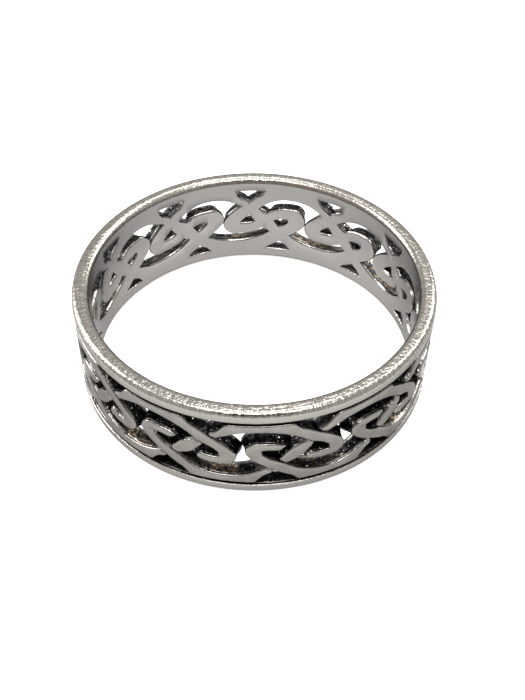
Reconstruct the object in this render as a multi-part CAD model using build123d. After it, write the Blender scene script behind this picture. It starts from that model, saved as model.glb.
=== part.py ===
from build123d import *
import math
import os

# A pierced finger ring, cast in one piece: a closed knot of one strand between two plain rims.
# Millimetres. Z runs along the finger, and the ring lies on its lower rim at Z = 0.

# Driving sizes
inner_diameter = 18.2       # the finger's hole
wall = 0.95                 # from the hole to the outside
band_width = 6.2            # from rim to rim, along Z
rim_height = 0.65           # the plain rim above and below the knot
outer_edge_round = 0.34
inner_edge_round = 0.24
repeats = 11                # knots round the ring
first_knot_deg = 283.3      # where one knot's middle stands, from +X towards +Y
strand_width = 0.60         # the strand's plain width, which the table shares out
upper_gap_draft = 0.05      # the sides of a gap lean in by this much from outside to hole: upper triangles
lower_gap_draft = 0.22      # lower triangles
eye_gap_draft = 0.13        # the small holes beside the ovals
long_gap_draft = 0.14       # the S-shaped gaps between the knots
upper_arch_share = 0.35     # share of that draft under the upper arches
groove_height = 0.18        # the groove between a rim and the arc beside it
groove_depth = 0.36
groove_setback = 0.03       # from the rim's edge to the groove
dip_depth = 0.40            # how far the strand sinks where it goes under the oval
dip_length = 0.50
line_width = 0.08           # the cut line beside a strand that passes over another
line_depth = 0.14
overrun = 0.06              # how far a cutter runs past the metal that it trims

# What follows from them
inner_radius = inner_diameter / 2
outer_radius = inner_radius + wall
pitch_deg = 360 / repeats
pitch = math.radians(pitch_deg) * outer_radius
field_half = band_width / 2 - rim_height
middle_height = band_width / 2

# Half of the strand's way through the knot, from the oval of the knot before to the middle of this
# one. The other half is the same, turned half a turn about the knot's middle.
# along: share of the pitch; up: share of the field's half height; width: share of the strand's width
half_path = [
    (-1.000, 0.000, 1.40),
    (-0.912, 0.172, 1.00),
    (-0.842, 0.340, 0.77),
    (-0.760, 0.508, 0.73),
    (-0.646, 0.645, 0.72),
    (-0.534, 0.744, 0.70),
    (-0.403, 0.793, 0.70),
    (-0.263, 0.798, 0.73),
    (-0.140, 0.756, 0.83),
    (-0.026, 0.674, 0.97),
    (0.074, 0.545, 1.07),
    (0.166, 0.393, 1.15),
    (0.263, 0.260, 1.00),
    (0.351, 0.087, 1.06),
    (0.405, -0.083, 1.10),
    (0.377, -0.210, 0.98),
    (0.298, -0.240, 0.83),
    (0.201, -0.231, 0.77),
    (0.105, -0.165, 0.73),
    (0.000, 0.000, 0.77),
]
middle_step = len(half_path) - 1

# Stretches of the path, counted in its rows, along which the sides of gaps and pockets are looked for
oval = (-1.2, 3.2)          # round the oval of the knot before
arch = (2.0, 12.0)          # from the oval up and over to the turn
arch_rise = (2.0, 5.5)
arch_fall = (7.0, 12.0)
turn_out = (10.5, 13.8)     # the turn beside the next oval
turn_back = (14.2, 19.6)
arm = (10.0, 19.6)          # the whole turn and the way to the middle
crossing_over = (9.5, 13.5)
crossing_under = (0.5, 4.5)
middle_overlap = 0.4        # how far from the middle the dip's sides start

# Straight sides of gaps, as shares of the pitch and of the field's half height, with the gap to the
# right of each line's heading: the rim, the ends of the web that joins an arc to it, and the eye's tip
rim_side = ((-0.10, 1.00), (0.50, 1.00))
web_left = ((0.030, 0.76), (-0.066, 1.00))
web_right = ((0.405, 1.00), (0.315, 0.74))
eye_tip = ((0.305, 0.080), (0.318, -0.180))
line_reach = 0.3
sample_length = 0.22


def chart_row(index):
    """Row of the whole strand: the half path out, the same turned round, then the next lap."""
    lap, step = divmod(index, 2 * middle_step)
    if step <= middle_step:
        along, up, width = half_path[step]
    else:
        along, up, width = half_path[2 * middle_step - step]
        along, up = -along, -up
    return along + 2 * lap, up, width


def strand_at(step):
    """Place, heading and half width of the strand at a step, in millimetres."""
    index = math.floor(step)
    part = step - index
    rows = [chart_row(index + offset) for offset in (-1, 0, 1, 2)]
    values = []
    slopes = []
    for before, start, end, after in zip(*rows):
        bend = 2 * before - 5 * start + 4 * end - after
        twist = 3 * (start - end) + after - before
        values.append(start + 0.5 * part * (end - before + part * (bend + part * twist)))
        slopes.append(0.5 * (end - before + part * (2 * bend + 3 * part * twist)))
    place = (values[0] * pitch, values[1] * field_half)
    heading = (slopes[0] * pitch, slopes[1] * field_half)
    size = math.hypot(*heading)
    return place, (heading[0] / size, heading[1] / size), values[2] * strand_width / 2


def back(stretch):
    """The same stretch, followed the other way."""
    return stretch[1], stretch[0]


def far_half(stretch):
    """The same stretch in the strand's second half, from the middle outwards."""
    return 2 * middle_step - stretch[1], 2 * middle_step - stretch[0]


def side(stretch, hand, knot=0, grow=0.0):
    """One side of the strand along a stretch: hand 1 is left of the path's heading, -1 right."""
    start, end = stretch
    count = max(4, math.ceil(abs(end - start) * 5))
    line = []
    for number in range(count + 1):
        place, heading, half = strand_at(start + (end - start) * number / count)
        reach = hand * (half + grow)
        line.append((place[0] - heading[1] * reach + knot * pitch, place[1] + heading[0] * reach))
    return line


def straight(ends, grow=0.0):
    """A straight side of a gap, moved into the gap by the given amount and drawn out at both ends."""
    (ax, ay), (bx, by) = [(along * pitch, up * field_half) for along, up in ends]
    size = math.hypot(bx - ax, by - ay)
    hx, hy = (bx - ax) / size, (by - ay) / size
    moved = (hy * grow, -hx * grow)
    return [
        (ax - hx * line_reach + moved[0], ay - hy * line_reach + moved[1]),
        (bx + hx * line_reach + moved[0], by + hy * line_reach + moved[1]),
    ]


def meeting(first, second):
    """Where the first line last meets the second: the point and the index it follows in each."""
    for a in range(len(first) - 2, -1, -1):
        (ax, ay), (bx, by) = first[a], first[a + 1]
        for c in range(len(second) - 1):
            (cx, cy), (dx, dy) = second[c], second[c + 1]
            cross = (bx - ax) * (dy - cy) - (by - ay) * (dx - cx)
            if abs(cross) < 1e-12:
                continue
            along_first = ((cx - ax) * (dy - cy) - (cy - ay) * (dx - cx)) / cross
            along_second = ((cx - ax) * (by - ay) - (cy - ay) * (bx - ax)) / cross
            if 0 <= along_first <= 1 and 0 <= along_second <= 1:
                return (ax + (bx - ax) * along_first, ay + (by - ay) * along_first), a, c
    raise ValueError("two sides of a gap do not meet")


def trimmed(lines):
    """Cut each line of a closed outline where it meets the next one."""
    joints = [meeting(line, lines[(number + 1) % len(lines)]) for number, line in enumerate(lines)]
    result = []
    for number, line in enumerate(lines):
        start, _, after = joints[number - 1]
        end, before, _ = joints[number]
        result.append([start] + line[after + 1:before + 1] + [end])
    return result


def spaced(line, count):
    """The same line with a number of even steps."""
    lengths = [0.0]
    for (ax, ay), (bx, by) in zip(line, line[1:]):
        lengths.append(lengths[-1] + math.hypot(bx - ax, by - ay))
    points = []
    for number in range(count + 1):
        want = lengths[-1] * number / count
        index = max(i for i in range(len(line) - 1) if lengths[i] <= want or i == 0)
        span = lengths[index + 1] - lengths[index]
        part = (want - lengths[index]) / span if span > 0 else 0.0
        (ax, ay), (bx, by) = line[index], line[index + 1]
        points.append((ax + (bx - ax) * part, ay + (by - ay) * part))
    return points


def line_length(line):
    """Length of a line through points."""
    return sum(math.hypot(b[0] - a[0], b[1] - a[1]) for a, b in zip(line, line[1:]))


def turned(lines, about=0.0):
    """The same lines, turned half a turn about a point on the knot's middle line."""
    return [[(2 * about - x, -y) for x, y in line] for line in lines]


# Outlines of the gaps of one knot, on the outside of the ring, about the knot's middle

def rim_gap(grow):
    """The triangle between the upper rim, this knot's strand and the next knot's arc."""
    return trimmed([
        straight(web_left, grow),
        straight(rim_side, grow),
        straight(web_right, grow),
        side(back(arch_rise), 1, 1, grow),
        side(back(arch_fall), 1, 0, grow),
    ])


def eye_gap(grow):
    """The small hole right of the oval, inside the strand's turn."""
    return trimmed([
        side(turn_out, -1, 0, grow),
        straight(eye_tip, grow),
        side(turn_back, -1, 0, grow),
        side(oval, -1, 1, grow),
    ])


def long_gap(grow):
    """The S-shaped gap left of the knot: crescent, slanting channel and the crescent below."""
    halves = []
    for arch_grow in (upper_arch_share * grow, grow):
        halves.append([
            side(arch, -1, 0, arch_grow),
            side(back(oval), 1, 1, grow),
            side(far_half(arm), -1, 0, grow),
        ])
    return trimmed(halves[0] + turned(halves[1], -pitch / 2))


def span_of(lines):
    """Middle and half length of an outline along the ring, as angles in radians."""
    angles = [x / outer_radius for line in lines for x, _ in line]
    return (max(angles) + min(angles)) / 2, (max(angles) - min(angles)) / 2


def edges_of(lines, counts, place):
    """Edges through an outline's lines, each in its own number of steps, with place giving 3-D points."""
    edges = []
    for line, count in zip(lines, counts):
        points = [place(x, z) for x, z in spaced(line, count)]
        edges.append(Spline(*points) if count > 1 else Line(*points))
    return edges


def gap_cutter(outline_at, draft):
    """A solid that cuts a gap through the wall: its sides point at the axis, and lean in by the draft.

    Its two ends are flat, outside the ring and inside the hole, and the sides are ruled between them.
    """
    counts = [max(1, round(line_length(line) / sample_length)) for line in outline_at(0.0)]
    centre, spread = span_of(outline_at(0.0))
    ends = []
    for distance in (outer_radius + overrun, inner_radius * math.cos(spread) - overrun):
        lines = outline_at(draft * (outer_radius - distance) / wall)

        def place(x, z):
            return Vector(distance, distance * math.tan(x / outer_radius - centre), z + middle_height)

        ends.append(Face(Wire(edges_of(lines, counts, place))))
    return loft(ends, ruled=True).rotate(Axis.Z, math.degrees(centre))


def pocket_cutter(lines, depth_at):
    """A solid that cuts a shallow pocket in the outside, with depth_at giving its floor's depth."""
    counts = [max(1, round(line_length(line) / sample_length)) for line in lines]
    centre, _ = span_of(lines)

    def place(x, z):
        return Vector(outer_radius - depth_at(x, z), x - centre * outer_radius, z + middle_height)

    floor = Face(Wire(edges_of(lines, counts, place)))
    return extrude(floor, amount=dip_depth + overrun, dir=(1, 0, 0)).rotate(Axis.Z, math.degrees(centre))


def step_after(start, length):
    """The step along the path that lies a length beyond the given one."""
    step = start
    place, _, _ = strand_at(step)
    while length > 0:
        step += 0.02
        following, _, _ = strand_at(step)
        length -= math.hypot(following[0] - place[0], following[1] - place[1])
        place = following
    return step


def dip_outline(far_step):
    """Where the strand sinks beside the oval, on the upper left of the knot's middle."""
    (x, z), (hx, hz), half = strand_at(far_step)
    reach = half + 3 * overrun
    far_end = [(x + hz * reach, z - hx * reach), (x - hz * reach, z + hx * reach)]
    sunk = (middle_step - middle_overlap, far_step + middle_overlap)
    return trimmed([
        side(oval, 1, 1, overrun),
        side(sunk, -1, 0, overrun),
        far_end,
        side(back(sunk), 1, 0, overrun),
    ])


def dip_cutters():
    """The sloping pockets on both sides of the oval, deep beside it and running out away from it."""
    _, _, oval_half = strand_at(0)
    near, heading, _ = strand_at(step_after(middle_step, oval_half))
    lines = dip_outline(step_after(middle_step, oval_half + dip_length))

    def depth_at(x, z):
        run = (x - near[0]) * heading[0] + (z - near[1]) * heading[1]
        return dip_depth * (1 - run / (dip_length - overrun))

    return [pocket_cutter(lines, depth_at), pocket_cutter(turned(lines), lambda x, z: depth_at(-x, -z))]


def line_cutters():
    """The thin cut lines along both sides of a strand that passes over another."""
    cutters = []
    for hand in (1, -1):
        lines = trimmed([
            side(crossing_over, hand),
            side(crossing_under, hand, 1, -overrun),
            side(back(crossing_over), hand, 0, line_width),
            side(back(crossing_under), -hand, 1, -overrun),
        ])
        for outline in (lines, turned(lines)):
            cutters.append(pocket_cutter(outline, lambda x, z: line_depth))
    return cutters


def groove_cutters():
    """The grooves between the rims and the arcs, from one triangle to the next."""
    past_end = math.degrees(overrun / outer_radius)
    start = (web_right[0][0] + web_right[1][0]) / 2 * pitch_deg - past_end
    end = pitch_deg + (web_left[0][0] + web_left[1][0]) / 2 * pitch_deg + past_end
    radius = outer_radius - groove_depth
    height = field_half - groove_setback - groove_height
    cutters = []
    for low in (height, -height - groove_height):
        section = Pos(radius, 0, middle_height + low) * Rot(90, 0, 0) * Rectangle(
            groove_depth + overrun, groove_height, align=(Align.MIN, Align.MIN))
        turn = start if low > 0 else -end
        cutters.append(revolve(section, Axis.Z, end - start).rotate(Axis.Z, turn))
    return cutters


def plain_band():
    """The band before it is cut: a flat-sided section with rounded corners, turned round the axis."""
    section = Pos(inner_radius, 0, 0) * Rot(90, 0, 0) * Rectangle(
        wall, band_width, align=(Align.MIN, Align.MIN))
    corners = section.vertices().sort_by(Axis.X)
    section = fillet(corners[:2], inner_edge_round)
    corners = section.vertices().sort_by(Axis.X)
    section = fillet(corners[-2:], outer_edge_round)
    return revolve(section, Axis.Z)


def knot_band():
    """The whole ring: the plain band with every knot's gaps and relief cut into it."""
    knot = [
        gap_cutter(rim_gap, upper_gap_draft),
        gap_cutter(lambda grow: turned(rim_gap(grow)), lower_gap_draft),
        gap_cutter(eye_gap, eye_gap_draft),
        gap_cutter(lambda grow: turned(eye_gap(grow)), eye_gap_draft),
        gap_cutter(long_gap, long_gap_draft),
    ]
    knot += dip_cutters() + line_cutters() + groove_cutters()
    turns = [first_knot_deg + number * pitch_deg for number in range(repeats)]
    return plain_band() - [solid.rotate(Axis.Z, turn) for turn in turns for solid in knot]


ring = knot_band()
print("solids", len(ring.solids()), "faces", len(ring.faces()), "volume", round(ring.volume, 2))
os.makedirs("parts", exist_ok=True)
export_step(ring, "parts/knot_band.step")
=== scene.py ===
"""Looks for a worn, pierced silver ring with a knot of one strand running round between two rims.

All lengths in the classes below are millimetres, unless a comment says metres. A finished piece is
brought to metres at the end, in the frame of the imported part: Z runs along the finger and the ring
lies on its lower rim at Z = 0.
"""

import logging
import math
from dataclasses import dataclass, field
from enum import Enum
from typing import NamedTuple, Sequence, Union

import bmesh
import bpy
from mathutils import Matrix, Vector

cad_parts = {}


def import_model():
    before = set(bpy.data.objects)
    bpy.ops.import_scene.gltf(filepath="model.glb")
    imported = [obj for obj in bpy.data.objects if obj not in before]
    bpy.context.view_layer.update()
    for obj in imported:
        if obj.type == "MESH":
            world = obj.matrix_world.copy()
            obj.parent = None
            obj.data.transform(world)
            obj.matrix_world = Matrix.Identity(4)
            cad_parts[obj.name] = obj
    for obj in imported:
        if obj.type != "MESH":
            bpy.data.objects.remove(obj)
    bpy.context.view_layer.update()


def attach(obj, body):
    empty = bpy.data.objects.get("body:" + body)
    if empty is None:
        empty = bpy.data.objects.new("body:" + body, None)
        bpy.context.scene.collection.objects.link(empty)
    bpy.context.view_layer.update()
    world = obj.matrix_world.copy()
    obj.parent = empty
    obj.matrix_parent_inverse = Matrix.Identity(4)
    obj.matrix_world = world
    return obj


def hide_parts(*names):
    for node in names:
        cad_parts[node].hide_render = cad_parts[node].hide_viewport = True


LOG = logging.getLogger("silver_ring")
METRES = 0.001
SAME_PLACE = 1e-6  # millimetres
PARALLEL = 1e-9
Shape = bmesh.types.BMesh
Socket = bpy.types.NodeSocket
Sockets = bpy.types.bpy_prop_collection
Colour = tuple[float, float, float, float]
Value = Union[float, Sequence[float], Socket]
Place = tuple[float, float]


# ---- shape ----


def clamped(share: float) -> float:
    """The share, kept between 0 and 1."""
    return max(0.0, min(1.0, share))


@dataclass(frozen=True)
class BandSizes:
    """Main sizes of the band, the same as in the part."""

    inner_radius: float = 9.1
    outer_radius: float = 10.05
    width: float = 6.2
    rim_height: float = 0.65
    outer_round: float = 0.34
    inner_round: float = 0.36
    repeats: int = 11
    first_knot_deg: float = 283.3

    @property
    def wall(self) -> float:
        """Thickness from the hole to the outside."""
        return self.outer_radius - self.inner_radius

    @property
    def pitch(self) -> float:
        """Length of one knot round the outside."""
        return 2 * math.pi * self.outer_radius / self.repeats

    @property
    def field_half(self) -> float:
        """Half the height between the rims."""
        return self.width / 2 - self.rim_height

    def bent(self, along: float, up: float, depth: float) -> Vector:
        """Place of a point of the unrolled band on the round one.

        Args:
            along: Length round the outside from the middle of knot 0.
            up: Height above the band's middle.
            depth: How far the point lies below the outside.

        Returns:
            The point, in millimetres.
        """
        angle = along / self.outer_radius + math.radians(self.first_knot_deg)
        radius = self.outer_radius - depth
        return Vector((radius * math.cos(angle), radius * math.sin(angle), up + self.width / 2))


class PathRow(NamedTuple):
    """One row of the knot's chart."""

    along: float  # share of the pitch, from the knot's middle
    up: float  # share of the field's half height
    width: float  # share of the strand's plain width


HALF_PATH: tuple[PathRow, ...] = (
    PathRow(-1.000, 0.000, 1.40),
    PathRow(-0.912, 0.172, 1.00),
    PathRow(-0.842, 0.340, 0.77),
    PathRow(-0.760, 0.508, 0.73),
    PathRow(-0.646, 0.645, 0.72),
    PathRow(-0.534, 0.744, 0.70),
    PathRow(-0.403, 0.793, 0.70),
    PathRow(-0.263, 0.798, 0.73),
    PathRow(-0.140, 0.756, 0.83),
    PathRow(-0.026, 0.674, 0.97),
    PathRow(0.074, 0.545, 1.07),
    PathRow(0.166, 0.393, 1.15),
    PathRow(0.263, 0.260, 1.00),
    PathRow(0.351, 0.087, 1.06),
    PathRow(0.405, -0.083, 1.10),
    PathRow(0.377, -0.210, 0.98),
    PathRow(0.298, -0.240, 0.83),
    PathRow(0.201, -0.231, 0.77),
    PathRow(0.105, -0.165, 0.73),
    PathRow(0.000, 0.000, 0.77),
)


@dataclass(frozen=True)
class PathPoint:
    """A point of the strand's middle line on the unrolled band."""

    along: float
    up: float
    heading: Place
    half_width: float

    def beside(self, reach: float) -> Place:
        """Point at a distance to the left of the heading, or to the right if it is negative."""
        return self.along - self.heading[1] * reach, self.up + self.heading[0] * reach


@dataclass(frozen=True)
class KnotPath:
    """The closed strand: half a knot listed in a chart, the rest by its half-turn symmetry."""

    band: BandSizes = BandSizes()
    strand_width: float = 0.60
    trial_step: float = 0.02  # steps by which the path is followed to space the stations
    shortest_end: float = 0.4  # share of a full distance that the last station may keep
    bend_span: float = 0.05  # steps to either side over which a bend is measured
    straight_below: float = 1e-6

    @property
    def middle(self) -> int:
        """Step at which the strand passes the knot's middle."""
        return len(HALF_PATH) - 1

    def row(self, index: int) -> PathRow:
        """Row of the whole strand, which moves on by two knots in each lap.

        Args:
            index: Number of the row, below 0 or beyond the first lap too.

        Returns:
            The row.
        """
        lap, step = divmod(index, 2 * self.middle)
        turned = step > self.middle
        along, up, width = HALF_PATH[2 * self.middle - step if turned else step]
        side = -1 if turned else 1
        return PathRow(side * along + 2 * lap, side * up, width)

    def point(self, step: float, knot: float = 0) -> PathPoint:
        """Point of the smooth curve through the rows.

        Args:
            step: Place along the strand, counted in rows.
            knot: Number of knots by which the point is moved round the band.

        Returns:
            The point, its heading and the strand's half width there.
        """
        index = math.floor(step)
        part = step - index
        values, slopes = [], []
        for before, start, end, after in zip(*(self.row(index + offset) for offset in (-1, 0, 1, 2))):
            bend = 2 * before - 5 * start + 4 * end - after
            twist = 3 * (start - end) + after - before
            values.append(start + 0.5 * part * (end - before + part * (bend + part * twist)))
            slopes.append(0.5 * (end - before + part * (2 * bend + 3 * part * twist)))
        rise = (slopes[0] * self.band.pitch, slopes[1] * self.band.field_half)
        size = math.hypot(*rise)
        return PathPoint(
            along=(values[0] + knot) * self.band.pitch,
            up=values[1] * self.band.field_half,
            heading=(rise[0] / size, rise[1] / size),
            half_width=values[2] * self.strand_width / 2,
        )

    def stations(self, start: float, end: float, stride: float, turn_deg: float) -> list[float]:
        """Steps at which the strand gets a section: closer together where it turns.

        Args:
            start: First step.
            end: Last step.
            stride: Longest distance between two sections.
            turn_deg: Most that the heading changes between two sections.

        Returns:
            The steps, from start to end.
        """
        count = round((end - start) / self.trial_step)
        found, travelled = [start], 0.0
        before = self.point(start)
        for number in range(1, count):
            step = start + (end - start) * number / count
            here = self.point(step)
            length = math.hypot(here.along - before.along, here.up - before.up)
            cross = before.heading[0] * here.heading[1] - before.heading[1] * here.heading[0]
            turn = math.degrees(math.asin(max(-1, min(1, cross))))
            travelled += length / stride + abs(turn) / turn_deg
            before = here
            if travelled >= 1:
                found.append(step)
                travelled = 0.0
        if travelled > self.shortest_end:
            found.append(end)
        else:
            found[-1] = end
        return found

    def bend_radius(self, step: float) -> float:
        """Radius of the middle line's bend: above 0 to the left, below 0 to the right.

        Args:
            step: Place along the strand, in rows.

        Returns:
            The radius, without limit where the line is straight.
        """
        before, after = self.point(step - self.bend_span), self.point(step + self.bend_span)
        cross = before.heading[0] * after.heading[1] - before.heading[1] * after.heading[0]
        length = math.hypot(after.along - before.along, after.up - before.up)
        return length / math.asin(cross) if abs(cross) > self.straight_below else math.inf


@dataclass(frozen=True)
class Lean:
    """How far the sides of the gaps lean in, from the outside of the ring to the hole."""

    upper_triangle: float = 0.13
    lower_triangle: float = 0.27
    eye: float = 0.17
    long_gap: float = 0.20
    upper_arch: float = 0.06
    upper_rim: float = 0.26
    facing_down: float = 0.06  # added on a side that faces straight down
    waist: float = 0.09  # added where the strands of two knots come nearest
    waist_at: float = 14.0  # step of that place
    waist_spread: float = 2.2
    first_crossing: float = 2.5  # step at which the strand goes under another arc
    second_crossing: float = 11.5  # step at which it goes over one
    change: float = 0.6

    def beside(self, step: float, hand: int, middle: int) -> float:
        """Lean of the gap beside the strand, which changes where it crosses another strand.

        Args:
            step: Place along the strand, in rows.
            hand: 1 for the left of its heading, -1 for the right.
            middle: Step of the knot's middle.

        Returns:
            The lean, in millimetres.
        """
        local = step % (2 * middle)
        lower = local > middle
        if lower:
            local, hand = 2 * middle - local, -hand
        if hand > 0:
            inside, outside = self.long_gap, self.lower_triangle if lower else self.upper_triangle
        else:
            inside, outside = self.eye, self.long_gap if lower else self.upper_arch
        between = min(local - self.first_crossing, self.second_crossing - local)
        share = clamped(between / self.change * 0.5 + 0.5)
        near = max(0.0, 1 - abs(local - self.waist_at) / self.waist_spread) if hand > 0 else 0.0
        return inside + (outside - inside) * share + self.waist * near


@dataclass(frozen=True)
class InnerEdge:
    """Rounding of the gaps' edges at the hole, as the casting has it."""

    radius: float = 0.12
    radius_facing_up: float = 0.28
    steepest_deg: float = 60.0
    steps: int = 3
    above_hole: float = 0.012

    def radius_for(self, facing_up: float) -> float:
        """Radius on a side by how far it faces up: 1 straight up, 0 upright, -1 straight down."""
        return self.radius + (self.radius_facing_up - self.radius) * max(0.0, facing_up)

    def rows(self, wall: float, foot: float, radius: float) -> list[Place]:
        """Points down the rounding, and on in a straight line to the foot.

        Args:
            wall: Depth of the hole's surface.
            foot: Depth of the foot, below that surface.
            radius: Radius of the rounding.

        Returns:
            Depth, and how far the side has drawn back, of each point.
        """
        steepest = math.radians(self.steepest_deg)
        start = wall - self.above_hole - radius * math.sin(steepest)
        found = []
        for number in range(self.steps + 1):
            angle = steepest * number / self.steps
            found.append((start + radius * math.sin(angle), radius * (1 - math.cos(angle))))
        depth, back = found[-1]
        return found + [(foot, back + (foot - depth) * math.tan(steepest))]

    def levels(self, top: float, wall: float, below: float) -> list[Place]:
        """Levels of a block with the plain rounding.

        Args:
            top: Depth of its top.
            wall: Depth of the hole's surface.
            below: How far its foot lies below that surface.

        Returns:
            Depth, and how far the side has drawn back, of each level.
        """
        return [(top, 0.0)] + self.rows(wall, wall + below, self.radius)


class Crossing(NamedTuple):
    """A place where the ribbon from knot 0 to knot 2 goes under another strand."""

    under: tuple[float, float]  # steps of the ribbon
    over: tuple[float, float]  # steps of the strand above
    knot: float  # knots by which the strand above is moved
    depth: float  # how far the ribbon's top sinks
    flat: float  # from the strand above to where the ribbon starts to rise
    ramp: float  # length of the rise


class Corner(NamedTuple):
    """A corner of the ribbon's section."""

    hand: int  # 1 for the left side, -1 for the right, 0 for the middle of the top
    inside: float  # how far it lies inside the strand's edge
    share: float  # its depth as a share of the way from the top to the hole
    extra: float  # its depth in millimetres besides


class Station(NamedTuple):
    """A place along the ribbon that gets a section."""

    step: float
    point: PathPoint
    bend: float  # radius of the middle line's bend
    corners: list[Corner]


@dataclass(frozen=True)
class Ribbon:
    """The strand from the middle of one knot to the middle of the next but one.

    Its ends are hidden inside the ovals of other ribbons, so that no ribbon crosses itself.
    """

    path: KnotPath = KnotPath()
    edge_round: float = 0.12
    lean: Lean = Lean()
    inner_edge: InnerEdge = InnerEdge()
    below_hole: float = 0.06
    hidden_end: float = 0.10
    stride: float = 0.17
    turn_deg: float = 8.0
    inner_share: float = 0.90
    edge_shelf: float = 0.07
    side_shares: tuple[float, ...] = (0.45, 0.10)  # rows between the foot and the rounded edge
    edge_tilts_deg: tuple[float, ...] = (90, 60, 30, 0)
    upright_from: float = 0.20  # a shoulder this broad has an upright side, towards its groove
    over_points: int = 60  # points by which the strand above is followed at a crossing
    crossings: tuple[Crossing, ...] = (
        Crossing((19.0, 22.0), (-3.0, 3.0), 1, 0.40, 0.00, 0.52),
        Crossing((33.5, 37.5), (24.5, 28.5), 1, 0.15, 0.07, 0.10),
        Crossing((38.5, 42.5), (9.5, 13.5), 1, 0.15, 0.07, 0.10),
        Crossing((54.0, 57.0), (-3.0, 3.0), 3, 0.40, 0.00, 0.52),
    )

    @property
    def reach(self) -> Place:
        """First and last step of the ribbon."""
        return self.path.middle + self.hidden_end, 3 * self.path.middle - self.hidden_end

    def over_lines(self) -> list[list[tuple[float, float, float]]]:
        """Follows the strand above at each crossing.

        Returns:
            For each crossing, points of that strand's middle line with its half width.
        """
        lines = []
        for crossing in self.crossings:
            start, end = crossing.over
            line = []
            for number in range(self.over_points + 1):
                step = start + (end - start) * number / self.over_points
                point = self.path.point(step, crossing.knot)
                line.append((point.along, point.up, point.half_width))
            lines.append(line)
        return lines

    def sunk(self, step: float, along: float, up: float, lines: Sequence) -> float:
        """How far the ribbon's top lies below the outside of the ring.

        Args:
            step: Place along the ribbon, in rows.
            along: Length round the outside.
            up: Height above the band's middle.
            lines: What over_lines gives.

        Returns:
            The depth, in millimetres.
        """
        depth = 0.0
        for crossing, line in zip(self.crossings, lines):
            if crossing.under[0] <= step <= crossing.under[1]:
                away = min(math.hypot(x - along, z - up) - half for x, z, half in line)
                share = clamped((away - crossing.flat) / crossing.ramp)
                depth = max(depth, crossing.depth * (1 - share * share * (3 - 2 * share)))
        return depth

    def side(self, hand: int, facing_up: float) -> list[Corner]:
        """Corners of one side of the section, from its foot to the flat top.

        Args:
            hand: 1 for the left side, -1 for the right.
            facing_up: How far the side faces up, 1 to -1.

        Returns:
            The corners.
        """
        wall = self.path.band.wall
        rows = self.inner_edge.rows(wall, wall + self.below_hole, self.inner_edge.radius_for(facing_up))
        side = [Corner(hand, back, 1.0, depth - wall) for depth, back in reversed(rows)]
        top, foot = self.edge_round, rows[0][0] - wall
        side += [Corner(hand, 0.0, share, top + (foot - top) * share) for share in self.side_shares]
        for angle in self.edge_tilts_deg:
            tilt = math.radians(angle)
            side.append(Corner(hand, top * (1 - math.sin(tilt)), 0.0, top * (1 - math.cos(tilt))))
        return side + [Corner(hand, top + self.edge_shelf, 0.0, 0.0)]

    def station(self, step: float) -> Station:
        """The section at a step, round from the left foot to the right one.

        Args:
            step: Place along the ribbon, in rows.

        Returns:
            The section.
        """
        point = self.path.point(step)
        left, right = self.side(1, point.heading[0]), self.side(-1, -point.heading[0])
        corners = left + [Corner(0, 0.0, 0.0, 0.0)] + right[::-1]
        return Station(step, point, self.path.bend_radius(step), corners)

    def place(self, station: Station, number: int, shoulder: "Shoulder", lines: Sequence) -> Vector:
        """Where a corner of a section lies.

        Args:
            station: The section.
            number: Number of the corner.
            shoulder: The metal that joins an arc to the groove beside it.
            lines: What over_lines gives.

        Returns:
            The corner on the unrolled band, as along, depth and up.
        """
        here, wall = station.point, self.path.band.wall
        hand, inside, share, extra = station.corners[number]
        half = here.half_width
        lean = self.lean.beside(station.step, hand, self.path.middle)
        lean += self.lean.facing_down * max(0.0, -hand * here.heading[0])
        if hand:
            length, at_groove = shoulder.reach(here, hand)
            beyond = max(0.0, length - half)
            half += beyond
            if at_groove:
                lean *= max(0.0, 1 - beyond / self.upright_from)
        limit = abs(station.bend) * self.inner_share if hand * station.bend > 0 else math.inf
        edge = hand * min(half - inside, limit)
        sink = self.sunk(station.step, *here.beside(edge), lines)
        depth = sink + extra + share * (wall - sink)
        reach = hand * min(half - inside + lean * share * depth / wall, limit)
        along, up = here.beside(reach if hand else 0.0)
        return Vector((along, depth, up))

    def build(self, shoulder: "Shoulder") -> Shape:
        """Sheet of quads wrapped round the ribbon's section, from the first station to the last.

        Args:
            shoulder: The metal that joins an arc to the groove beside it.

        Returns:
            The closed ribbon on the unrolled band, as along, depth and up.
        """
        steps = self.path.stations(*self.reach, self.stride, self.turn_deg)
        stations = [self.station(step) for step in steps]
        lines = self.over_lines()
        rows, across = len(stations) - 1, len(stations[0].corners) - 1
        sheet = bmesh.new()
        bmesh.ops.create_grid(sheet, x_segments=rows, y_segments=across, size=0.5)
        for vert in sheet.verts:
            station = stations[round((vert.co.x + 0.5) * rows)]
            vert.co = self.place(station, round((vert.co.y + 0.5) * across), shoulder, lines)
        foot = self.path.band.wall + self.below_hole
        long_sides = [
            edge for edge in sheet.edges
            if edge.is_boundary and all(abs(vert.co.y - foot) < SAME_PLACE for vert in edge.verts)
        ]
        bmesh.ops.bridge_loops(sheet, edges=long_sides)
        bmesh.ops.holes_fill(sheet, edges=[edge for edge in sheet.edges if edge.is_boundary])
        return sheet


def meeting(start: Place, heading: Place, first: Place, second: Place) -> Place:
    """Where a ray meets a line.

    Args:
        start: Start of the ray.
        heading: Its heading.
        first: A point of the line.
        second: Another point of it.

    Returns:
        The length along the ray, and the share of the way from the first point to the second:
        both without limit where the two are parallel.
    """
    (ax, ay), (bx, by) = first, second
    cross = heading[0] * (by - ay) - heading[1] * (bx - ax)
    if abs(cross) < PARALLEL:
        return math.inf, math.inf
    length = ((ax - start[0]) * (by - ay) - (ay - start[1]) * (bx - ax)) / cross
    share = ((ax - start[0]) * heading[1] - (ay - start[1]) * heading[0]) / cross
    return length, share


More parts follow.
